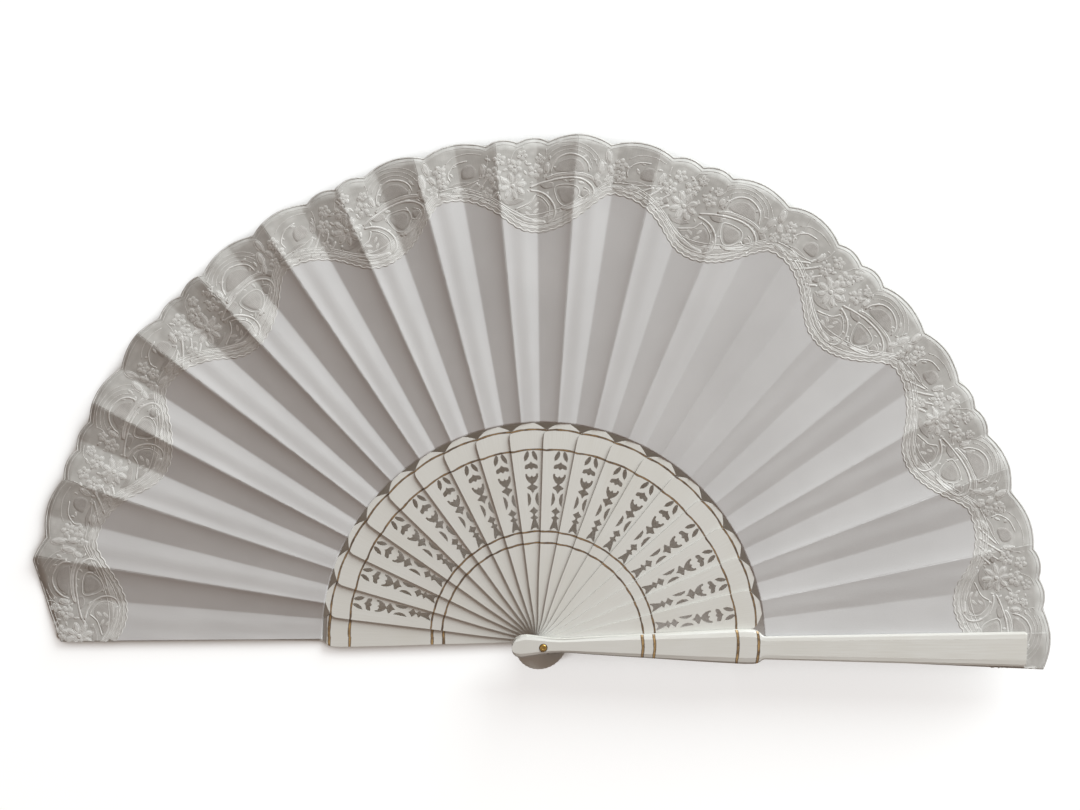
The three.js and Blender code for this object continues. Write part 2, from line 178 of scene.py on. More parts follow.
def outer_edge(th):
    """Outer edge of the lace: two wide and two small scallops to a festoon, its rear end turned under."""
    turned = np.maximum(0, th - TURNED_AT)
    th = th - turned
    f = 3 * (((EDGE_AT - th) / FESTOON) % 1)
    small = (f >= 1) & (f < 2)
    lobes = np.abs(np.sin(math.pi * f * np.where(small, 2, 1))) ** .8
    bulge = np.where(small, SMALL_BULGE, WIDE_BULGE) * lobes
    return LACE_R + sway(th) + bulge - TURNED_FALL * turned


# Mesh helpers
def new_object(name, verts, faces, mats, slots=None):
    """A smooth-shaded mesh in the scene; slots gives each face's material."""
    me = bpy.data.meshes.new(name)
    me.from_pydata([tuple(map(float, v)) for v in verts], [], [tuple(map(int, f)) for f in faces])
    for m in mats:
        me.materials.append(m)
    if slots is not None:
        me.polygons.foreach_set("material_index", np.asarray(slots, np.int32))
    me.polygons.foreach_set("use_smooth", [True] * len(me.polygons))
    me.update()
    ob = bpy.data.objects.new(name, me)
    scene.collection.objects.link(ob)
    return ob


def hold(ob, i):
    """Attaches gore i's piece to its body when it is the last one; the others only have their transform
    baked.
    """
    if i == LAST:
        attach(ob, BODIES[i])
        return
    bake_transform(ob)


# Materials
class Nodes:
    """Short ways to build a node tree: a new material's, or that of the world."""
    def __init__(self, name, owner=None):
        self.m = owner or bpy.data.materials.new(name)
        self.m.use_nodes = True
        self.t = self.m.node_tree
        self.bsdf = self.t.nodes.get("Principled BSDF")
        self.out = self.t.nodes["World Output" if owner else "Material Output"]

    def surface(self, shader):
        self.t.links.new(shader.outputs[0], self.out.inputs["Surface"])

    def add(self, kind, inputs=None, **props):
        n = self.t.nodes.new("ShaderNode" + kind)
        for k, v in props.items():
            setattr(n, k, v)
        for k, v in (inputs or {}).items():
            if isinstance(v, bpy.types.NodeSocket):
                self.t.links.new(v, n.inputs[k])
            else:
                n.inputs[k].default_value = v
        return n

    def math(self, op, a, b=0.0):
        return self.add("Math", {0: a, 1: b}, operation=op).outputs[0]

    def ramp(self, x, lo, hi, a=0.0, b=1.0):
        """Takes lo to a and hi to b, and stays between them."""
        values = {"Value": x, "From Min": lo, "From Max": hi, "To Min": a, "To Max": b}
        return self.add("MapRange", values).outputs["Result"]

    def mix(self, f, a, b):
        n = self.add("Mix", data_type="RGBA")
        for sock, v in ((n.inputs[0], f), (n.inputs[6], a), (n.inputs[7], b)):
            if isinstance(v, bpy.types.NodeSocket):
                self.t.links.new(v, sock)
            else:
                sock.default_value = v
        return n.outputs[2]

    def noise(self, vec, scale, detail):
        return self.add("TexNoise", {"Vector": vec, "Scale": scale, "Detail": detail}).outputs["Fac"]

    def point(self):
        """The point in object space, in metres."""
        return self.add("TexCoord").outputs["Object"]

    def polar(self, point):
        """Distance from the rivet in mm, and angle about it."""
        xyz = self.add("SeparateXYZ", {0: point})
        x, y = xyz.outputs[0], xyz.outputs[1]
        r = self.math("SQRT", self.math("ADD", self.math("MULTIPLY", x, x), self.math("MULTIPLY", y, y)))
        return self.math("MULTIPLY", r, 1000.0), self.math("ARCTAN2", y, x)

    def along(self, r, a):
        """A vector that runs along and across a stick, in mm."""
        return self.add("CombineXYZ", {0: r, 1: self.math("MULTIPLY", a, 200.0), 2: 0.0}).outputs[0]

    def wave(self, vec, scale, distortion, detail_scale, direction):
        """Bands along one direction, with one layer of detail."""
        values = {"Vector": vec, "Scale": scale, "Distortion": distortion, "Detail": 1.0}
        values["Detail Scale"] = detail_scale
        return self.add("TexWave", values, bands_direction=direction).outputs["Fac"]

    def put(self, **inputs):
        """Sets inputs of the main shader."""
        for k, v in inputs.items():
            s = self.bsdf.inputs[k.replace("_", " ")]
            if isinstance(v, bpy.types.NodeSocket):
                self.t.links.new(v, s)
            else:
                s.default_value = v

    def bump(self, height, strength, distance):
        n = self.add("Bump", {"Height": height, "Strength": strength, "Distance": distance})
        self.t.links.new(n.outputs[0], self.bsdf.inputs["Normal"])


def scaled(n, vec, sx, sy):
    """A vector stretched along and across the stick."""
    return n.add("Mapping", {"Vector": vec, "Scale": (sx, sy, 1.0)}).outputs[0]


# Colours; where there are two, they are mixed from place to place
LACQUER = (.648, .644, .622, 1), (.694, .698, .684, 1)
YELLOWED = (.605, .592, .55, 1)
PAINTED_EDGE_SHADE = (.48, .47, .44, 1), (.27, .26, .24, 1)      # painted shade on the sides, and on the rounded edges
LINE_RIM = (.065, .034, .014, 1)
COTTON_TONES = (.488, .484, .494, 1), (.533, .53, .541, 1)
COTTON_THREAD = (.612, .611, .618, 1)
BRASS_TONES = (.30, .18, .055, 1), (.16, .09, .025, 1)
FLOOR_WHITE = (.45, .46, .47, 1)
FLOOR_SHADOW_AND_WHITE = (.11, .088, .068, 1), (.68, .68, .68, 1)   # painted shadow where the fan closes it in, and plain white in the open


def painted_lines(n, obj, r, a, rings, half_width):
    """How far the painted lines reach, and how far their core does; they wander, bow and vary in width."""
    wander = n.ramp(n.noise(obj, 30.0, 1.0), .25, .75, -.14, .14)
    rr = n.math("ADD", r, wander)
    off = n.math("MULTIPLY", n.math("SUBTRACT", a, math.radians(ANGLE[STICKS])), 1 / math.radians(PITCH))
    off = n.math("MULTIPLY", n.math("SUBTRACT", n.math("FRACT", n.math("ADD", off, .5)), .5), PITCH / 4)
    bow = n.math("MULTIPLY", off, off)
    near = None
    for ring, drop in rings:
        d = n.math("ABSOLUTE", n.math("SUBTRACT", n.math("ADD", rr, n.math("MULTIPLY", bow, drop)), ring))
        near = d if near is None else n.math("MINIMUM", near, d)
    width = n.ramp(n.noise(obj, 260.0, 1.0), .3, .7, half_width - .12, half_width + .12)
    line = n.ramp(n.math("SUBTRACT", near, width), .16, -.16)
    core = n.ramp(n.math("SUBTRACT", near, n.math("MULTIPLY", width, .55)), .2, -.2)
    return line, core


def lacquered_wood(name, rings, half_width, golds):
    """Satin white lacquer with four hand-painted gold lines, a little uneven in place, width and cover, and
    painted shade on its sides and rounded edges.
    """
    n = Nodes(name)
    obj = n.point()
    r, a = n.polar(obj)
    line, core = painted_lines(n, obj, r, a, rings, half_width)
    nz = n.add("SeparateXYZ", {0: n.add("TexCoord").outputs["Normal"]}).outputs[2]
    line = n.math("MULTIPLY", line, n.ramp(nz, .35, .6))
    along = n.along(r, a)
    cover = n.ramp(n.noise(scaled(n, along, .8, .25), 3.0, 2.0), .3, .6, .88, 1.0)
    gold = n.mix(n.ramp(n.noise(obj, 230.0, 2.0), .38, .62), *golds)
    gold = n.mix(core, LINE_RIM, gold)
    streak = n.noise(scaled(n, along, .03, .9), 1.4, 3.0)
    cloud = n.noise(obj, 30.0, 2.0)
    white = n.mix(n.ramp(streak, .3, .7), *LACQUER)
    white = n.mix(n.math("MULTIPLY", n.ramp(cloud, .45, .75), .35), white, YELLOWED)
    # Painted shade: the sides and rounded edges are darkened, which takes the lamp's highlight off them
    edge_shade = n.mix(n.ramp(nz, .05, .35), *PAINTED_EDGE_SHADE)
    white = n.mix(n.ramp(nz, .5, .97), edge_shade, white)
    painted = n.math("MULTIPLY", line, cover)
    n.put(Base_Color=n.mix(painted, white, gold), Metallic=n.math("MULTIPLY", painted, .2))
    n.put(Roughness=n.ramp(n.noise(obj, 120.0, 2.0), .3, .7, .42, .54))
    n.put(Coat_Weight=.08, Coat_Roughness=.25, Specular_IOR_Level=.35)
    n.bump(n.math("ADD", n.math("MULTIPLY", streak, .6), n.math("MULTIPLY", line, .5)), .35, .00008)
    return n.m


def cotton():
    """Plain white cotton with a fine weave and a few thicker threads."""
    n = Nodes("leaf_cotton")
    obj = n.point()
    along = n.along(*n.polar(obj))
    warp = n.wave(scaled(n, along, 0.0, 1.0), .9, .6, .6, "Y")
    weft = n.wave(scaled(n, along, 1.0, 0.0), .9, .6, .6, "X")
    weave = n.math("MULTIPLY", warp, weft)
    slub = n.noise(scaled(n, along, .05, .8), 2.0, 2.0)
    cloud = n.noise(obj, 22.0, 3.0)
    base = n.mix(n.ramp(cloud, .3, .7), *COTTON_TONES)
    base = n.mix(n.math("MULTIPLY", n.ramp(weave, 0, 1), .12), base, COTTON_THREAD)
    n.put(Base_Color=base, Roughness=.88, Sheen_Weight=.15, Sheen_Roughness=.5)
    n.bump(n.math("ADD", n.math("MULTIPLY", weave, .5), n.math("MULTIPLY", slub, .8)), .35, .00006)
    return n.m


def thread(name, light, dark):
    """White embroidery thread, twisted and a little uneven in tone."""
    n = Nodes(name)
    obj = n.point()
    fine = n.noise(obj, 1800.0, 2.0)
    patchy = n.noise(obj, 420.0, 1.0)
    twist = n.wave(obj, 700.0, 3.0, 1.0, "DIAGONAL")
    blend = n.math("ADD", n.math("MULTIPLY", fine, .3), n.math("MULTIPLY", twist, .2))
    blend = n.math("ADD", blend, n.math("MULTIPLY", patchy, .5))
    n.put(Base_Color=n.mix(n.ramp(blend, .35, .65), dark, light))
    n.put(Roughness=.75, Sheen_Weight=.2, Sheen_Roughness=.4)
    n.bump(n.math("ADD", fine, twist), .5, .00008)
    return n.m


def tulle(name, light, dark):
    """Fine six-sided net: threads round holes that are open to what lies behind."""
    n = Nodes(name)
    obj = n.point()
    along = n.along(*n.polar(obj))
    values = {"Vector": along, "Scale": .95, "Randomness": .35}
    cells = n.add("TexVoronoi", values, feature="DISTANCE_TO_EDGE").outputs["Distance"]
    net = n.ramp(cells, .10, .22, 1.0, 0.0)
    dense = n.ramp(n.noise(obj, 60.0, 2.0), .3, .7, .86, .95)
    cover = n.math("MAXIMUM", dense, n.math("MULTIPLY", net, .95))
    patch = n.add("TexVoronoi", {"Vector": along, "Scale": .34}, feature="SMOOTH_F1").outputs["Distance"]
    n.put(Base_Color=n.mix(n.ramp(patch, .1, .6), light, dark))
    n.put(Roughness=.8, Sheen_Weight=.1)
    clear = n.add("BsdfTransparent")
    n.surface(n.add("MixShader", {0: cover, 1: clear.outputs[0], 2: n.bsdf.outputs[0]}))
    return n.m


def brass():
    """Dull, rubbed brass."""
    n = Nodes("brass")
    obj = n.point()
    rub = n.noise(obj, 900.0, 3.0)
    n.put(Base_Color=n.mix(n.ramp(rub, .35, .7), *BRASS_TONES), Metallic=1.0)
    n.put(Roughness=n.ramp(rub, .3, .7, .22, .38))
    n.bump(rub, .2, .00004)
    return n.m


def backdrop_ray(n):
    """1 where the camera, gloss or glass looks at the background, else 0."""
    path = n.add("LightPath").outputs
    seen = n.math("ADD", path["Is Camera Ray"], path["Is Glossy Ray"])
    return n.math("MINIMUM", n.math("ADD", seen, path["Is Transmission Ray"]), 1.0)


def floor_paint():
    """White floor; the glow that the camera sees fades, and warms a little, where the fan closes it in: a
    painted shadow under and beside the fan.
    """
    n = Nodes("floor_paint")
    n.put(Base_Color=FLOOR_WHITE, Roughness=.9)
    # Painted shadow: the glow dims and warms where the floor is closed in, widely round the fan and closely
    # at its edges
    wide = n.ramp(n.add("AmbientOcclusion", {"Distance": .06}, samples=8).outputs["AO"], .42, .66)
    close = n.ramp(n.add("AmbientOcclusion", {"Distance": .009}, samples=8).outputs["AO"], .62, .97)
    colour = n.mix(n.math("MULTIPLY", wide, close), *FLOOR_SHADOW_AND_WHITE)
    glow = n.add("Emission", {"Color": colour, "Strength": backdrop_ray(n)})
    n.surface(n.add("AddShader", {0: n.bsdf.outputs[0], 1: glow.outputs[0]}))
    return n.m


# The scene's materials
STICK_WOOD = lacquered_wood("stick_wood", RINGS, .58, ((.07, .037, .016, 1), (.26, .15, .055, 1)))
GUARD_WOOD = lacquered_wood("guard_wood", GUARD_RINGS, .92, ((.12, .065, .022, 1), (.42, .265, .10, 1)))
COTTON, BRASS = cotton(), brass()
TULLE = tulle("tulle_net", (.51, .503, .493, 1), (.437, .429, .418, 1))
# Open net drawn as opaque darker thread: painted shade of what would be seen through its holes
OPEN_NET_SHADE = thread("lace_open_net_shade", (.415, .40, .39, 1), (.35, .336, .326, 1))
CORD = thread("lace_thread", (.59, .584, .578, 1), (.46, .453, .444, 1))
CLOTHWORK = thread("lace_clothwork", (.575, .569, .562, 1), (.455, .448, .44, 1))

# Wood and rivet
EDGE_ROUND = .00018             # rounding of the wood's edges, in metres
RIVET_SIDES = 40
# Half the rivet's outline, as (radius, height): flat head, pin, domed head with a dimple
RIVET_OUTLINE = ((0, 0), (1.9, 0), (2.2, .12), (2.25, .35), (2.2, .7), (1.9, .8), (1.5, .85),
                 (1.5, 28.6), (1.9, 28.7), (2.25, 28.85), (2.3, 29.2), (2.2, 29.55), (1.95, 29.85),
                 (1.6, 30.08), (1.2, 30.2), (.85, 30.16), (.6, 29.95), (.35, 29.8), (0, 29.75))


def dress_wood():
    """Sticks and guards keep their CAD solids, with softened edges."""
    for name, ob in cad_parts.items():
        if "stick" in name or "guard" in name:
            ob.data.materials.clear()
            ob.data.materials.append(GUARD_WOOD if "guard" in name else STICK_WOOD)
            bev = ob.modifiers.new("soft_edges", "BEVEL")
            bev.width, bev.segments = EDGE_ROUND, 2
            bev.limit_method, bev.angle_limit = "ANGLE", math.radians(40)
            bev.harden_normals = True


def make_rivet():
    """Turned brass pin with a small domed, dimpled head: its outline swept about the axis."""
    verts, rings = [], []
    for rad, z in RIVET_OUTLINE:
        sides = RIVET_SIDES if rad else 1
        rings.append([len(verts) + k % sides for k in range(RIVET_SIDES + 1)])
        for k in range(sides):
            a = 2 * math.pi * k / RIVET_SIDES
            verts.append((rad * math.cos(a) / 1000, rad * math.sin(a) / 1000, z / 1000))
    faces = []
    for low, high in zip(rings, rings[1:]):
        for k in range(RIVET_SIDES):
            corners = (low[k], low[k + 1], high[k + 1], high[k])
            faces.append(tuple(dict.fromkeys(corners)))
    pin = new_object("brass_rivet", verts, faces, [BRASS])
    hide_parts("rivet")
    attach(pin, "rear")


dress_wood()
make_rivet()

# The leaf's gores: columns, as shares of their glued and free panels, and the rows below the wavy ones
GLUED_SHARES = (0, .03, .08, .16, .25, .34, .45, .56, .66, .75, .84, .92, .97, 1)
FREE_SHARES = (.03, .07, .18, .34, .5, .68, .82, .9, .95, .98, 1, 1.006)
LOW_ROWS = (LEAF_IN, 134, 137, 142, 149, 156)
BANDS_EACH = 8                  # rows of cotton above those, and rows of tulle


def gore_grid(i):
    """Angles and radii of the points of gore i, and how many of its rows are cotton."""
    low = END if i == LAST else ANGLE[i] - GLUED_CW
    th = RIDGE[i] + (low - RIDGE[i]) * np.array(GLUED_SHARES)
    if i < LAST:
        th = np.append(th, low + (RIDGE[i + 1] - low) * np.array(FREE_SHARES))
    cut, out = u_edge(th), outer_edge(th)
    steps = range(1, BANDS_EACH + 1)
    rows = [np.full_like(th, r) for r in LOW_ROWS]
    rows += [LOW_ROWS[-1] + (cut - LOW_ROWS[-1]) * k / BANDS_EACH for k in steps]
    cotton_rows = len(rows)
    rows += [cut + (out - cut) * k / BANDS_EACH for k in steps]
    R = np.array(rows)
    return np.broadcast_to(th, R.shape), R, cotton_rows


def make_gore(i):
    """Cotton-and-tulle sheet of rib i, from its ridge to the next one."""
    T, R, cotton_rows = gore_grid(i)
    grid = place(T, R, np.zeros_like(R))
    nr, nc = R.shape
    faces = [(a * nc + b, (a + 1) * nc + b, (a + 1) * nc + b + 1, a * nc + b + 1)
             for a in range(nr - 1) for b in range(nc - 1)]
    slots = [0 if a < cotton_rows - 1 else 1 for a in range(nr - 1) for b in range(nc - 1)]
    leaf = new_object(f"leaf_{i:02d}", grid.reshape(-1, 3), faces, [COTTON, TULLE], slots)
    if leaf.data.polygons[0].normal.z < 0:
        leaf.data.flip_normals()
    hold(leaf, i)
    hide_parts(f"leaf_pleat_{i:02d}", *([f"leaf_fold_{i:02d}"] if i < LAST else []))
    thick = leaf.modifiers.new("cloth", "SOLIDIFY")
    thick.thickness, thick.offset = CLOTH / 1000, 0


for i in range(LAST + 1):
    make_gore(i)

# Embroidery, drawn flat as (angle, radius, height) and then laid on the pleats
DEG = math.radians(1) * MID_R   # one degree of the lace in mm
SKIN, RELIEF = CLOTH / 2, .42   # where the cloth's face is, and how high the threads stand for one drawn mm
OVER_EDGE = 4.2                 # how far above the lace's inner edge the wide band starts
SHELL_AT, SHELL_R = 5, 281      # middle of the shell, in degrees to the right, and radius
SEED_R, SEED_REACH = 258, 32    # where the scattered stitches start, and over how many mm
SUNK = -.12                     # where the threads' feet end, just behind the cloth


def deg(*pts):
    """Points given as degrees to the right and radius, as mm."""
    return np.array([(x * DEG, r) for x, r in pts])


def smoothed(pts, closed):
    """A smooth line through a few points."""
    p = np.asarray(pts, float)
    p = np.vstack([p[-1:], p, p[:2]]) if closed else np.vstack([2 * p[0] - p[1], p, 2 * p[-1] - p[-2]])
    out = []
    for k in range(1, len(p) - 2):
        a, b, c, d = p[k - 1:k + 3]
        for t in np.linspace(0, 1, 8, endpoint=False):
            bend = (2 * a - 5 * b + 4 * c - d) * t ** 2 + (3 * b - a - 3 * c + d) * t ** 3
            out.append(.5 * (2 * b + (c - a) * t + bend))
    return np.array(out if closed else out + [p[-2]])


def ellipse(cx, cy, rx, ry, turn, n):
    """n points round an ellipse, turned by some degrees."""
    t, a = np.linspace(0, 2 * math.pi, n, endpoint=False), math.radians(turn)
    x, y = rx * np.cos(t), ry * np.sin(t)
    return np.stack([cx + x * math.cos(a) - y * math.sin(a), cy + x * math.sin(a) + y * math.cos(a)], 1)


class Stitch:
    """Raised threads (slot 0), flat clothwork (slot 1) and open net drawn as a darker opaque fill of
    painted shade (slot 2).
    """
    def __init__(self):
        self.v, self.f, self.slot = [], [], []

    def _add(self, pts, faces, slot):
        """Takes in one more shape."""
        base = len(self.v)
        self.v += pts
        self.f += [tuple(base + k for k in f) for f in faces]
        self.slot += [slot] * len(faces)

    def cord(self, path, width, high, closed=False, step=1.0, slot=0):
        """A round-topped thread along points in mm."""
        p = np.asarray(path, float)
        q = np.vstack([p, p[:1]]) if closed else p
        s = np.r_[0, np.cumsum(np.linalg.norm(np.diff(q, axis=0), axis=1))]
        n = max(6 if closed else 4, int(round(s[-1] / step)))
        u = np.linspace(0, s[-1], n + 1)
        q = np.stack([np.interp(u, s, q[:, 0]), np.interp(u, s, q[:, 1])], 1)
        w = np.interp(u, s, np.broadcast_to(width, len(s)))
        if closed:
            q, w = q[:-1], w[:-1]
            d = np.roll(q, -1, 0) - np.roll(q, 1, 0)
        else:
            d = np.gradient(q, axis=0)
            w[[0, -1]] *= .45
        d /= np.maximum(np.linalg.norm(d, axis=1, keepdims=True), 1e-9)
        nrm = np.stack([-d[:, 1], d[:, 0]], 1)
        prof = [(-.5, SUNK), (-.38, high * .8), (0, high), (.38, high * .8), (.5, SUNK)]
        pts = [(*(q[k] + nrm[k] * w[k] * c), h) for k in range(len(q)) for c, h in prof]
        m, rows = len(prof), len(q)
        after = [(k + 1) % rows * m for k in range(rows)]
        faces = [(k * m + c, k * m + (c + 1) % m, after[k] + (c + 1) % m, after[k] + c)
                 for k in range(rows if closed else rows - 1) for c in range(m)]
        if not closed:
            faces += [tuple(range(m))[::-1], tuple((rows - 1) * m + c for c in range(m))]
        self._add(pts, faces, slot)

    def line(self, pts, width, high, closed=False, slot=0):
        """A thread along a smooth line through a few points."""
        self.cord(smoothed(pts, closed), width, high, closed, slot=slot)

    def fill(self, pts, high, slot, smooth_it=True):
        """A closed, roughly convex shape filled with clothwork, in rings that follow the pleats."""
        q = smoothed(pts, True) if smooth_it else np.asarray(pts)
        n, mid = len(q), np.mean(q, axis=0)
        inner = max(2, int(np.linalg.norm(q - mid, axis=1).max() / 1.6))
        shares = [k / inner * .88 for k in range(1, inner + 1)]
        rings = [(k, SUNK) for k in shares + [1]] + [(k, high * (1.2 - .2 * k)) for k in shares[::-1]]
        pts = [(*(mid + (e - mid) * k), h) for k, h in rings for e in q]
        pts += [(*mid, SUNK), (*mid, high * 1.2)]
        last, low, top = len(rings) - 1, len(pts) - 2, len(pts) - 1
        faces = [(j * n + k, j * n + (k + 1) % n, (j + 1) * n + (k + 1) % n, (j + 1) * n + k)
                 for j in range(last) for k in range(n)]
        faces += [((k + 1) % n, k, low) for k in range(n)]
        faces += [(last * n + k, last * n + (k + 1) % n, top) for k in range(n)]
        self._add(pts, faces, slot)

    def leaf(self, x, r, long, wide, turn):
        """A small filled leaf or petal with a thread round it."""
        shape = ellipse(x * DEG, r, long, wide, turn, 12)
        self.fill(shape, .2, 1, False)
        self.cord(shape, .6, .26, True)

    def flower(self, x, r, rad, petals, turn):
        """Petals round a raised eye."""
        for k in range(petals):
            a = turn + 360 * k / petals
            out = rad * .62
            wide = rad * min(.36, 1.7 / petals)
            across, up = out * math.cos(math.radians(a)), out * math.sin(math.radians(a))
            self.leaf(x + across / DEG, r + up, rad * .42, wide, a)
        self.fill(ellipse(x * DEG, r, rad * .2, rad * .2, 0, 8), .36, 0, False)


# Open net, filled dark as painted shade, inside the round leaves, the shells and between the flowers, as
# (degrees to the right, radius)
CELLS = (
    ((-1.7, 258.2), (-.6, 260.4), (.8, 264.2), (1.8, 264.6), (2.5, 260.8), (2.6, 256.4), (1.9, 253),
     (.4, 252.6), (-.7, 254.6)),
    ((3.5, 270.5), (4.6, 271.8), (5.7, 271), (6.1, 268.3), (5.9, 264.8), (5.2, 261.3), (4.5, 260.8),
     (3.8, 264.5)),
    ((6.6, 269.5), (7.4, 270), (7.7, 267.5), (7.2, 264.8), (6.5, 266)),
    ((3.2, 279.6), (3.4, 284), (4.2, 287.3), (5.2, 288.3), (6.2, 286.8), (6.8, 283.5), (6.7, 279.8)),
    ((-8, 281), (-7.9, 286), (-7.2, 289), (-6.4, 288.4), (-6, 284.5), (-6.2, 281), (-7, 280)),
    ((-3.7, 266), (-2.6, 264.4), (-1, 265.4), (-.4, 264), (-1.6, 261.6), (-3, 262)),
    ((-9.8, 277.8), (-8.2, 276.6), (-6.7, 278), (-8.4, 279.4)),
    ((-5, 273.4), (-4.2, 274.6), (-3.8, 271.6), (-4.6, 270)),
    ((1.4, 272.8), (3, 274.2), (3.2, 270.8), (2, 270)),
    ((8, 274.5), (8.6, 276.8), (9.2, 274), (8.6, 271.6)))
# Threads as (points, width, height), then bands of clothwork
THREADS = (
    (((.2, 269.5), (1.3, 268.5), (2.3, 266), (3.1, 261.5), (3.4, 257), (3.2, 252.5), (2.4, 249.8)),
     1.7, .26),
    (((.9, 266.8), (1.7, 265), (2.5, 261), (2.7, 257), (2.4, 252.5)), .8, .24),
    (((-1.8, 259), (-.5, 261), (.2, 262.5), (.9, 266.8)), 1.2, .26),
    (((-3.4, 262.8), (-2.5, 259.6), (-1.6, 257), (-.5, 253.9), (.6, 252)), .8, .26),
    (((.2, 271.2), (1.5, 273.2), (2.7, 274.6), (3.9, 275.8), (5.6, 276.4), (6.9, 275.2), (7.9, 271.8),
      (8.1, 268), (7.6, 263.8), (6.3, 260), (4.8, 257.4)), 1.6, .26),
    (((6.2, 266), (6.9, 264.6), (7.6, 266.4), (7.5, 269.6), (6.8, 271.2)), .8, .24),
    (((2.4, 276.6), (3.4, 278.4), (5, 279.4), (6.6, 279.2), (7.9, 277.6)), .8, .26),
    (((2.7, 279.5), (3, 284), (3.8, 288.5), (5, 290.4), (6.3, 288.6), (7.1, 285), (7.3, 280.5)), 1.3, .24),
    (((-9.4, 280.5), (-9.5, 285), (-8.5, 289.8), (-7, 291)), 1.0, .24),
    (((-5.4, 287.5), (-5.2, 283.5), (-5.6, 280.5)), 1.2, .24),
    (((-11, 276.2), (-9.4, 276.8), (-7.4, 277.2), (-5.9, 279)), .8, .2),
    (((-2.6, 284.8), (-2, 288), (-1.4, 293), (-.3, 295)), .5, .16),
    (((1.5, 284.5), (2.2, 288.5), (2.2, 293.5)), .5, .16),
    (((-9.6, 291), (-8.6, 294), (-6.9, 295), (-5.3, 293)), .5, .14),
    (((-5, 284), (-4.7, 288), (-4.6, 292.5)), .5, .16))
BANDS = (
    (((-3.8, 262), (-2.8, 258.6), (-1.8, 256), (-.7, 253), (.6, 251.2), (2.2, 250.4)), 3.2, .16),
    (((4.2, 258.4), (5.4, 258.8), (6.5, 261.4), (7.4, 264.4)), 3.0, .16),
    (((2.2, 275.6), (3.4, 277.6), (5, 278.5), (6.6, 278.3), (7.8, 276.8), (8.7, 273.2)), 3.0, .16),
    (((-7.4, 268.8), (-5.9, 274.6), (-4.5, 281.5)), 1.8, .2),
    (((-6.3, 267.2), (-5, 271.6), (-4, 276.5)), 1.5, .2),
    (((-5.3, 265.6), (-4.4, 268), (-3.7, 270.2)), 1.9, .2),
    (((-8.8, 270.6), (-7.4, 274), (-6.1, 277.6)), 1.6, .2))
# The closed thread round the second cell
CELL_RIM = ((3.3, 270.8), (4.6, 272.4), (5.9, 271.4), (6.3, 268.5), (6.1, 264.8), (5.3, 260.8), (4.4, 260),
            (3.6, 264))
# Small leaves as (degrees, radius, half length, half width, turn)
LEAVES = ((-8.6, 274.6, 4.2, 1.6, 6), (-10.4, 273.4, 3.8, 1.5, -8), (8.7, 283.6, 4.6, 2.0, 82),
          (9.5, 290.6, 4.4, 1.9, 98), (8.3, 277.6, 3.0, 1.7, 64), (9.9, 283.2, 3.0, 1.5, 110),
          (2.3, 282, 3.2, 1.7, 84), (-5.4, 284, 3.6, 1.4, 70), (-.1, 259.2, 2.2, .7, 150),
          (.9, 257.2, 2.2, .7, 40), (-.2, 256, 1.9, .6, 145), (1, 261, 2, .6, 48))
# Flowers as (degrees, radius, size, petals, turn)
FLOWERS = ((-1.9, 272.6, 8.3, 8, 8), (-1.9, 272.6, 3.9, 5, 30), (-4.2, 280.6, 4.4, 6, 10),
           (-1.5, 283.8, 4.4, 5, 40), (.9, 280.4, 4.2, 5, 0), (-3.3, 288.6, 3.6, 5, 20),
           (-.6, 290.2, 3.0, 5, 60), (1.5, 287.2, 2.6, 5, 10), (-10.4, 287.2, 3.6, 5, 30),
           (-10.3, 280.4, 3.4, 5, 0), (-5.1, 270.4, 3.2, 5, 15), (9.8, 277.4, 2.8, 5, 50))


def festoon(k):
    """Repeat k of the lace between its edges: a large flower, two round leaves, and shells."""
    s = Stitch()
    # The open net's cells, filled darker as painted shade
    for cell in CELLS:
        s.fill(deg(*cell), .14, 2)
    # The wide clothwork band above the edge, broadest right of the lowest place
    x = np.linspace(-9, 10.2, 70)
    broad = 3.2 + 3.4 * np.exp(-((x - 3) / 4.2) ** 2)
    lines = ((.5, broad, .12, 1), (.05, .7, .26, 0), (.62, .6, .22, 0), (1.0, .8, .24, 0))
    for share, width, high, slot in lines:
        s.cord(np.stack([x * DEG, hang(x) + OVER_EDGE + share * broad], 1), width, high, slot=slot)
    for pts, width, high in BANDS:
        s.line(deg(*pts), width, high, slot=1)
    for pts, width, high in THREADS:
        s.line(deg(*pts), width, high)
    s.line(deg(*CELL_RIM), .8, .24, True)
    # Fine arches round the shell
    for j, grow in enumerate((2.9, 5.6, 8.2)):
        t = np.radians(np.linspace(152 - 7 * j, 8 + 6 * j, 22))
        x, r = (10.6 + grow) * np.cos(t), (9.6 + .82 * grow) * np.sin(t)
        s.cord(np.stack([SHELL_AT * DEG + x, SHELL_R + r], 1), .5, .12)
    for x, r, long, wide, turn in LEAVES:
        s.leaf(x, r, long, wide, turn + 6 * math.sin(1.7 * k + r))
    for x, r, size, petals, turn in FLOWERS:
        s.flower(x, r, size * (1 + .05 * math.sin(2.1 * k + x)), petals, turn + 25 * k)
    scatter(s, k)
    return s


def scatter(s, k):
    """Small stitches between the large forms of repeat k."""
    cells = [(deg(*cell).mean(axis=0), np.ptp(deg(*cell), axis=0).mean() / 2) for cell in CELLS]
    for j in range(SEEDS):
        across, up = (.618034 * (j + 37 * k)) % 1 - .5, (.754878 * (j + 53 * k)) % 1
        at = np.array([FESTOON * DEG * across, SEED_R + SEED_REACH * up])
        free = all(np.linalg.norm(at - mid) > size + 1 for mid, size in cells)
        if free and at[1] > hang(at[0] / DEG) + 10:
            size = .7 + .6 * ((.5698 * j) % 1)
            s.fill(ellipse(*at, 1.7 * size, .8 * size, 360 * ((.3247 * j) % 1), 8), .1, 1, False)


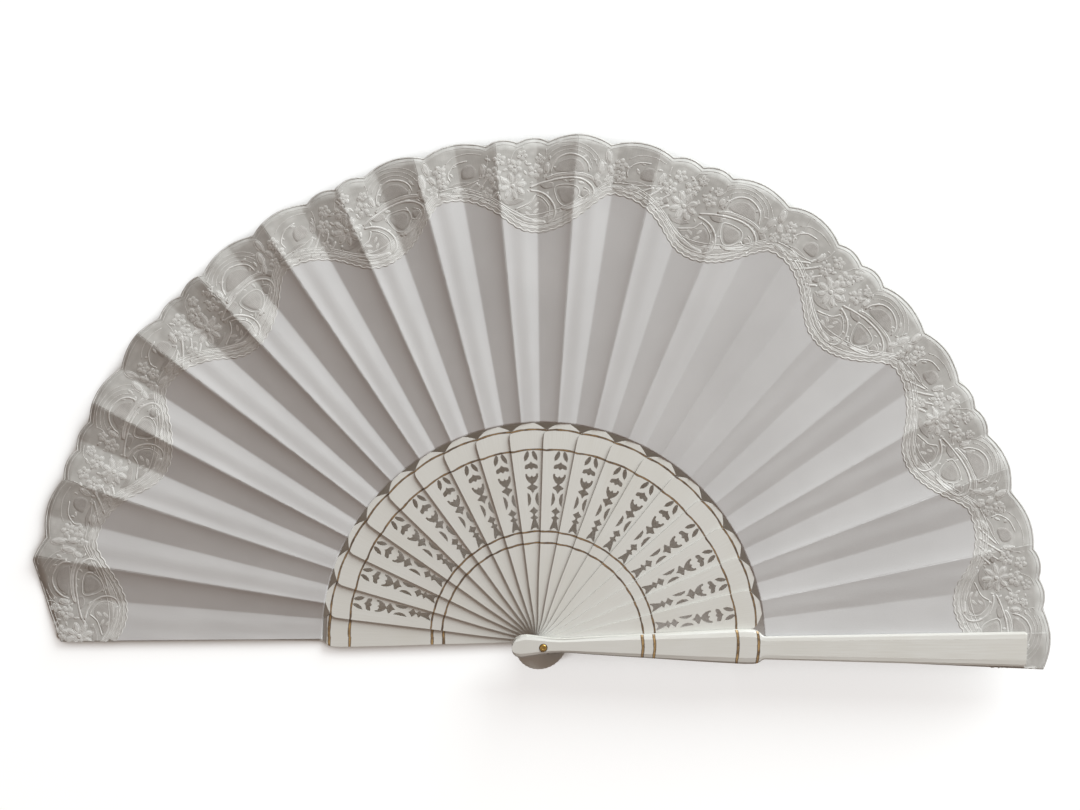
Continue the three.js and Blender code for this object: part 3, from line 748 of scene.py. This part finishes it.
def borders():
    """Edges: a band with wavy cords along the cotton, fine cords along the scallops."""
    s = Stitch()
    span = np.arange(RIDGE[0] + .2, END - .2, -.16)
    across = -np.radians(span) * MID_R
    inner = np.stack([across, u_edge(span)], 1)
    run = np.r_[0, np.cumsum(np.linalg.norm(np.diff(inner, axis=0), axis=1))]
    side = np.gradient(inner, axis=0)
    side = np.stack([-side[:, 1], side[:, 0]], 1) / np.linalg.norm(side, axis=1, keepdims=True)
    wave = np.abs(np.sin(run * math.pi / 5.2))[:, None]
    s.cord(inner + side * 2.1, 5.2, .12, step=.9, slot=1)
    s.cord(inner + side * (.5 - .9 * wave), 1.3, .3, step=.7)
    s.cord(inner + side * (2.1 + .3 * np.sin(run * 1.1)[:, None]), .7, .2, step=.8)
    s.cord(inner + side * (3.9 + .4 * wave), .9, .24, step=.7)
    for offset, width, high in ((-.62, .9, .2), (-2.7, .4, .12)):
        s.cord(np.stack([across, outer_edge(span) + offset], 1), width, high, step=.8)
    return s


def embroidery():
    """All of the lace's threads: points as (angle, radius, height), faces, and each face's slot."""
    points, faces, slots = [], [], []
    pieces = [(festoon(k), U_AT + FESTOON * k, LACE_SWAY) for k in REPEATS] + [(borders(), 0.0, 0)]
    for stitch, at, follow in pieces:
        base = sum(len(p) for p in points)
        v = np.asarray(stitch.v, float)
        high = np.where(v[:, 2] > 0, SKIN + RELIEF * v[:, 2], v[:, 2])
        th = at - np.degrees(v[:, 0] / MID_R)
        points.append(np.stack([th, v[:, 1] + follow * sway(th), high], 1))
        faces += [tuple(base + k for k in f) for f in stitch.f]
        slots += stitch.slot
    return np.vstack(points), faces, slots


def make_lace():
    """One piece of embroidery to each gore, cut off at the leaf's ends and at the scallops."""
    V, faces, slots = embroidery()
    centre = np.array([V[list(f), :2].mean(axis=0) for f in faces])
    inside = (centre[:, 0] < RIDGE[0] - CLEAR_DEG) & (centre[:, 0] > END + CLEAR_DEG)
    keep = inside & (centre[:, 1] < outer_edge(centre[:, 0]) - CLEAR_R)
    owner = panel_of(centre[:, 0])
    xyz = place(V[:, 0], V[:, 1], V[:, 2])
    for i in range(LAST + 1):
        mine = np.flatnonzero(keep & (owner == i))
        used = np.unique(np.concatenate([np.asarray(faces[k]) for k in mine]))
        index = {int(u): k for k, u in enumerate(used)}
        own = [[index[v] for v in faces[k]] for k in mine]
        kinds = [slots[k] for k in mine]
        lace = new_object(f"lace_{i:02d}", xyz[used], own, [CORD, CLOTHWORK, OPEN_NET_SHADE], kinds)
        hold(lace, i)


make_lace()

# Camera, floor and light, in metres
FOCAL_PX, PHOTO_WIDE, SENSOR = 1487.81, 1080, 36
CAMERA_TILT = (4.813, 2.808, -.649)         # about X, then Y, then Z, in degrees
CAMERA_AIM, CAMERA_AWAY = Vector((-.00272, .14215, 0)), .9
FLOOR_SIZE, FLOOR_Z = 6, -.0004
MIDDLE = Vector((0, .15, 0))
LAMP_AWAY, LAMP_WIDE, LAMP_AZIMUTH, LAMP_RISE = 3.0, 2.42, math.radians(56), math.radians(20)
LAMP_POWER, LAMP_COLOUR = 195, (.94, 1, 1.0)
FILL_COLOUR, FILL_STRENGTH = (1, .75, .59, 1), .275


def make_camera():
    """The photograph's view, as fitted to the rivet, the guard and the painted lines."""
    cam = bpy.data.objects.new("camera", bpy.data.cameras.new("camera"))
    scene.collection.objects.link(cam)
    scene.camera = cam
    cam.data.sensor_width = SENSOR
    cam.data.lens = FOCAL_PX * SENSOR / PHOTO_WIDE
    ax, ay, az = (math.radians(v) for v in CAMERA_TILT)
    turn = Matrix.Rotation(az, 3, "Z") @ Matrix.Rotation(ay, 3, "Y") @ Matrix.Rotation(ax, 3, "X")
    away = turn.transposed()
    cam.matrix_world = Matrix.Translation(CAMERA_AIM + away @ Vector((0, 0, CAMERA_AWAY))) @ away.to_4x4()
    cam.data.clip_start, cam.data.clip_end = .05, 20


def make_floor():
    """A wide floor just below the fan."""
    bpy.ops.mesh.primitive_plane_add(size=FLOOR_SIZE, location=(*MIDDLE.xy, FLOOR_Z))
    floor = bpy.context.object
    floor.name = "floor"
    floor.data.materials.append(floor_paint())


def make_lamp():
    """A wide soft lamp, far off to the upper right."""
    lamp = bpy.data.objects.new("key", bpy.data.lights.new("key", "AREA"))
    scene.collection.objects.link(lamp)
    lamp.data.shape, lamp.data.size = "DISK", LAMP_WIDE
    lamp.data.energy, lamp.data.color = LAMP_POWER, LAMP_COLOUR
    flat = math.cos(LAMP_RISE)
    toward = Vector((flat * math.cos(LAMP_AZIMUTH), flat * math.sin(LAMP_AZIMUTH), math.sin(LAMP_RISE)))
    lamp.location = MIDDLE + LAMP_AWAY * toward
    lamp.rotation_euler = toward.to_track_quat("Z", "Y").to_euler()


def make_world():
    """A dim warm fill for the object, and plain white where the background is seen."""
    scene.world = scene.world or bpy.data.worlds.new("studio")
    studio = Nodes("studio", scene.world)
    fill = studio.add("Background", {"Color": FILL_COLOUR, "Strength": FILL_STRENGTH})
    white = studio.add("Background", {"Color": (1, 1, 1, 1), "Strength": 1.0})
    both = studio.add("MixShader", {0: backdrop_ray(studio), 1: fill.outputs[0], 2: white.outputs[0]})
    studio.surface(both)


make_camera()
make_floor()
make_lamp()
make_world()
scene.view_settings.view_transform = "Standard"

bpy.context.view_layer.update()
